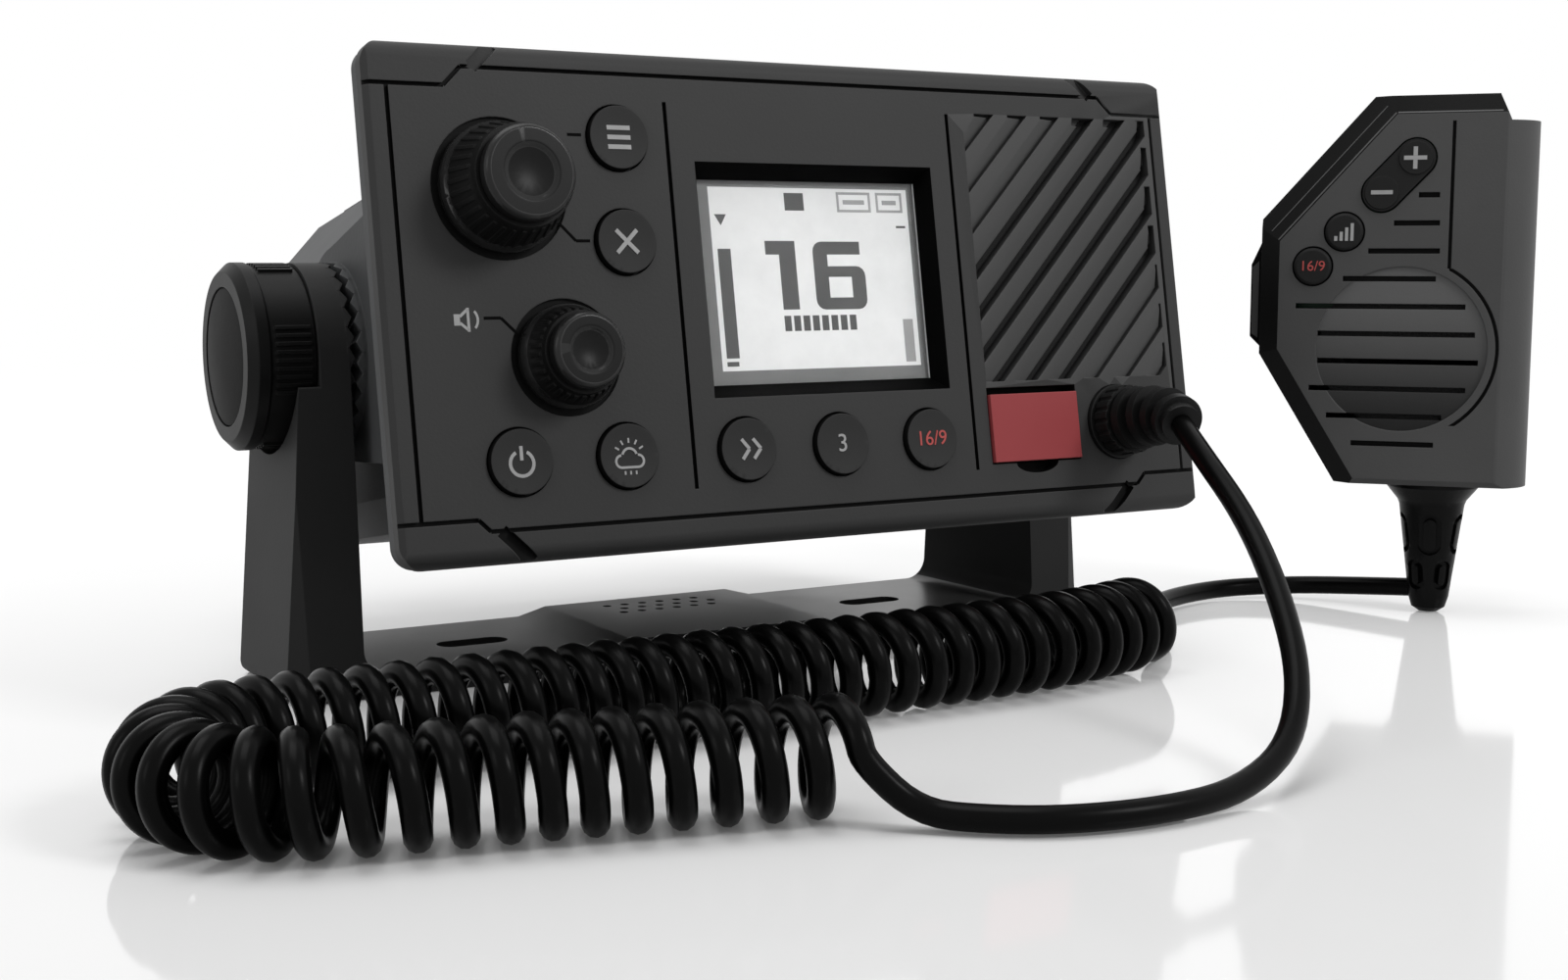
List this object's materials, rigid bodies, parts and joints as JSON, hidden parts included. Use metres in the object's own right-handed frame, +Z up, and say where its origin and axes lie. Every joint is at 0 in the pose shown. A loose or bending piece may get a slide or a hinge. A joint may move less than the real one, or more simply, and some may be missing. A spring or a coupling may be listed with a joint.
{
  "type": "vhf marine radio",
  "caption": "Fixed-mount marine VHF radio in a gimbal bracket, with rotary knobs, display, louvred speaker, flapped distress key and a hand microphone on a coiled lead.",
  "frame": {"origin": "centre of the gimbal bracket's underside, on the table", "axes": "+X to the right seen from the front, +Y to the back, +Z up; the face looks towards -Y, leaning 10 degrees back"},
  "size_m": [0.308, 0.2357, 0.1108],
  "materials": {
    "antenna_socket": "nickel plated",
    "channel_encoder": "satin",
    "channel_knob": "fine ribbed",
    "channel_knob_cap": "gloss rim",
    "channel_plunger": "satin",
    "channel_shaft": "satin",
    "coil_cord": "gloss",
    "distress_flap": "translucent red",
    "distress_key": "matt",
    "front_bezel": "fine textured",
    "front_board": "satin",
    "gimbal_bracket": "fine textured",
    "gps_antenna": "ceramic",
    "housing_gasket": "matt",
    "housing_screws": "satin",
    "key_cancel": "matt, dished",
    "key_menu": "matt, dished",
    "key_power": "matt, dished",
    "key_scan": "matt, dished",
    "key_sixteen": "matt, dished",
    "key_three_channel": "matt, dished",
    "key_weather": "matt, dished",
    "keypad_mat": "matt",
    "lcd_module": "pale grey display",
    "lcd_window": "clear",
    "lead_mic_end": "gloss",
    "lead_plug_end": "gloss",
    "left_clamp_cap": "satin",
    "left_clamp_knob": "satin ribbed",
    "left_clamp_stud": "turned",
    "loudspeaker": "matt",
    "main_board": "satin",
    "mic_board": "satin",
    "mic_boot": "satin",
    "mic_channel_key": "matt",
    "mic_element": "satin",
    "mic_front_shell": "fine textured",
    "mic_gasket": "matt",
    "mic_hanger_stud": "matt",
    "mic_power_key": "matt",
    "mic_rear_shell": "fine textured",
    "mic_rocker_key": "matt",
    "mic_screws": "satin",
    "mic_socket": "satin",
    "mic_speaker": "matt",
    "mic_talk_key": "matt",
    "pivot_inserts": "turned",
    "plug_body": "satin",
    "plug_boot": "satin",
    "plug_nut": "satin",
    "power_gland": "matt",
    "rear_housing": "matt powder coat",
    "right_clamp_cap": "satin",
    "right_clamp_knob": "satin ribbed",
    "right_clamp_stud": "turned",
    "volume_encoder": "satin",
    "volume_knob": "fine ribbed",
    "volume_knob_cap": "gloss rim",
    "volume_plunger": "satin",
    "volume_shaft": "satin"
  },
  "bodies": {
    "base": {"gimbal_bracket": "gimbal_bracket", "mic_front_shell": "mic_front_shell", "mic_rear_shell": "mic_rear_shell", "mic_gasket": "mic_gasket", "mic_board": "mic_board", "mic_speaker": "mic_speaker", "mic_element": "mic_element", "mic_boot": "mic_boot", "mic_hanger_stud": "mic_hanger_stud", "mic_screws": "mic_screws", "coil_cord": "coil_cord", "lead_mic_end": "lead_mic_end"},
    "radio": {"front_bezel": "front_bezel", "rear_housing": "rear_housing", "housing_gasket": "housing_gasket", "lcd_window": "lcd_window", "lcd_module": "lcd_module", "front_board": "front_board", "main_board": "main_board", "keypad_mat": "keypad_mat", "loudspeaker": "loudspeaker", "gps_antenna": "gps_antenna", "channel_encoder": "channel_encoder", "volume_encoder": "volume_encoder", "antenna_socket": "antenna_socket", "power_gland": "power_gland", "housing_screws": "housing_screws", "pivot_inserts": "pivot_inserts", "mic_socket": "mic_socket", "plug_body": "plug_body", "plug_boot": "plug_boot", "lead_plug_end": "lead_plug_end"},
    "right_clamp": {"right_clamp_knob": "right_clamp_knob", "right_clamp_cap": "right_clamp_cap", "right_clamp_stud": "right_clamp_stud"},
    "left_clamp": {"left_clamp_knob": "left_clamp_knob", "left_clamp_cap": "left_clamp_cap", "left_clamp_stud": "left_clamp_stud"},
    "channel_push": {"channel_plunger": "channel_plunger"},
    "channel_dial": {"channel_shaft": "channel_shaft", "channel_knob": "channel_knob", "channel_knob_cap": "channel_knob_cap"},
    "volume_push": {"volume_plunger": "volume_plunger"},
    "volume_dial": {"volume_shaft": "volume_shaft", "volume_knob": "volume_knob", "volume_knob_cap": "volume_knob_cap"},
    "flap": {"distress_flap": "distress_flap"},
    "alarm": {"distress_key": "distress_key"},
    "nut": {"plug_nut": "plug_nut"},
    "talk": {"mic_talk_key": "mic_talk_key"},
    "rocker": {"mic_rocker_key": "mic_rocker_key"},
    "mic_power": {"mic_power_key": "mic_power_key"},
    "mic_channel": {"mic_channel_key": "mic_channel_key"},
    "key_menu_body": {"key_menu": "key_menu"},
    "key_cancel_body": {"key_cancel": "key_cancel"},
    "key_power_body": {"key_power": "key_power"},
    "key_weather_body": {"key_weather": "key_weather"},
    "key_scan_body": {"key_scan": "key_scan"},
    "key_three_channel_body": {"key_three_channel": "key_three_channel"},
    "key_sixteen_body": {"key_sixteen": "key_sixteen"}
  },
  "joints": [
    {"name": "radio_tilt", "type": "hinge", "parent": "base", "child": "radio", "pos_m": [0, 0, 0.0595], "axis": [1, 0, 0], "range_deg": [-10, 18], "deforming": ["lead_plug_end"]},
    {"name": "right_clamp_turn", "type": "hinge", "parent": "radio", "child": "right_clamp", "pos_m": [0, 0, 0.0595], "axis": [1, 0, 0], "continuous": true},
    {"name": "left_clamp_turn", "type": "hinge", "parent": "radio", "child": "left_clamp", "pos_m": [0, 0, 0.0595], "axis": [1, 0, 0], "continuous": true},
    {"name": "channel_knob_press", "type": "slide", "parent": "radio", "child": "channel_push", "axis": [0, 0.9848, -0.1736], "range_m": [0, 0.0006], "stiffness_N_per_m": 5000},
    {"name": "channel_knob_turn", "type": "hinge", "parent": "channel_push", "child": "channel_dial", "pos_m": [-0.0593, -0.05256, 0.08796], "axis": [0, -0.9848, 0.1736], "continuous": true},
    {"name": "volume_knob_press", "type": "slide", "parent": "radio", "child": "volume_push", "axis": [0, 0.9848, -0.1736], "range_m": [0, 0.0006], "stiffness_N_per_m": 5000},
    {"name": "volume_knob_turn", "type": "hinge", "parent": "volume_push", "child": "volume_dial", "pos_m": [-0.0502, -0.05731, 0.06098], "axis": [0, -0.9848, 0.1736], "continuous": true},
    {"name": "key_menu_press", "type": "slide", "parent": "radio", "child": "key_menu_body", "axis": [0, 0.9848, -0.1736], "range_m": [0, 0.0008], "stiffness_N_per_m": 2200},
    {"name": "key_cancel_press", "type": "slide", "parent": "radio", "child": "key_cancel_body", "axis": [0, 0.9848, -0.1736], "range_m": [0, 0.0008], "stiffness_N_per_m": 2200},
    {"name": "key_power_press", "type": "slide", "parent": "radio", "child": "key_power_body", "axis": [0, 0.9848, -0.1736], "range_m": [0, 0.0008], "stiffness_N_per_m": 2200},
    {"name": "key_weather_press", "type": "slide", "parent": "radio", "child": "key_weather_body", "axis": [0, 0.9848, -0.1736], "range_m": [0, 0.0008], "stiffness_N_per_m": 2200},
    {"name": "key_scan_press", "type": "slide", "parent": "radio", "child": "key_scan_body", "axis": [0, 0.9848, -0.1736], "range_m": [0, 0.0008], "stiffness_N_per_m": 2200},
    {"name": "key_three_channel_press", "type": "slide", "parent": "radio", "child": "key_three_channel_body", "axis": [0, 0.9848, -0.1736], "range_m": [0, 0.0008], "stiffness_N_per_m": 2200},
    {"name": "key_sixteen_press", "type": "slide", "parent": "radio", "child": "key_sixteen_body", "axis": [0, 0.9848, -0.1736], "range_m": [0, 0.0008], "stiffness_N_per_m": 2200},
    {"name": "flap_open", "type": "hinge", "parent": "radio", "child": "flap", "pos_m": [0.0425, -0.05815, 0.05107], "axis": [-1, 0, 0], "range_deg": [0, 100], "stiffness_Nm_per_rad": 0.002, "springref_deg": -17.19},
    {"name": "distress_key_press", "type": "slide", "parent": "radio", "child": "alarm", "axis": [0, 0.9848, -0.1736], "range_m": [0, 0.0008], "stiffness_N_per_m": 2600},
    {"name": "plug_nut_turn", "type": "hinge", "parent": "radio", "child": "nut", "pos_m": [0.0621, -0.06281, 0.04651], "axis": [0, -0.9848, 0.1736], "continuous": true},
    {"name": "talk_key_press", "type": "slide", "parent": "base", "child": "talk", "axis": [0.6428, -0.766, 0], "range_m": [0, 0.0016], "stiffness_N_per_m": 1600},
    {"name": "mic_rocker_tip", "type": "hinge", "parent": "base", "child": "rocker", "pos_m": [0.14403, -0.05184, 0.0939], "axis": [-0.4701, 0.5602, 0.682], "range_deg": [-3, 3], "stiffness_Nm_per_rad": 0.25},
    {"name": "mic_power_key_press", "type": "slide", "parent": "base", "child": "mic_power", "axis": [0.766, 0.6428, 0], "range_m": [0, 0.0006], "stiffness_N_per_m": 2200},
    {"name": "mic_channel_key_press", "type": "slide", "parent": "base", "child": "mic_channel", "axis": [0.766, 0.6428, 0], "range_m": [0, 0.0006], "stiffness_N_per_m": 2200}
  ]
}
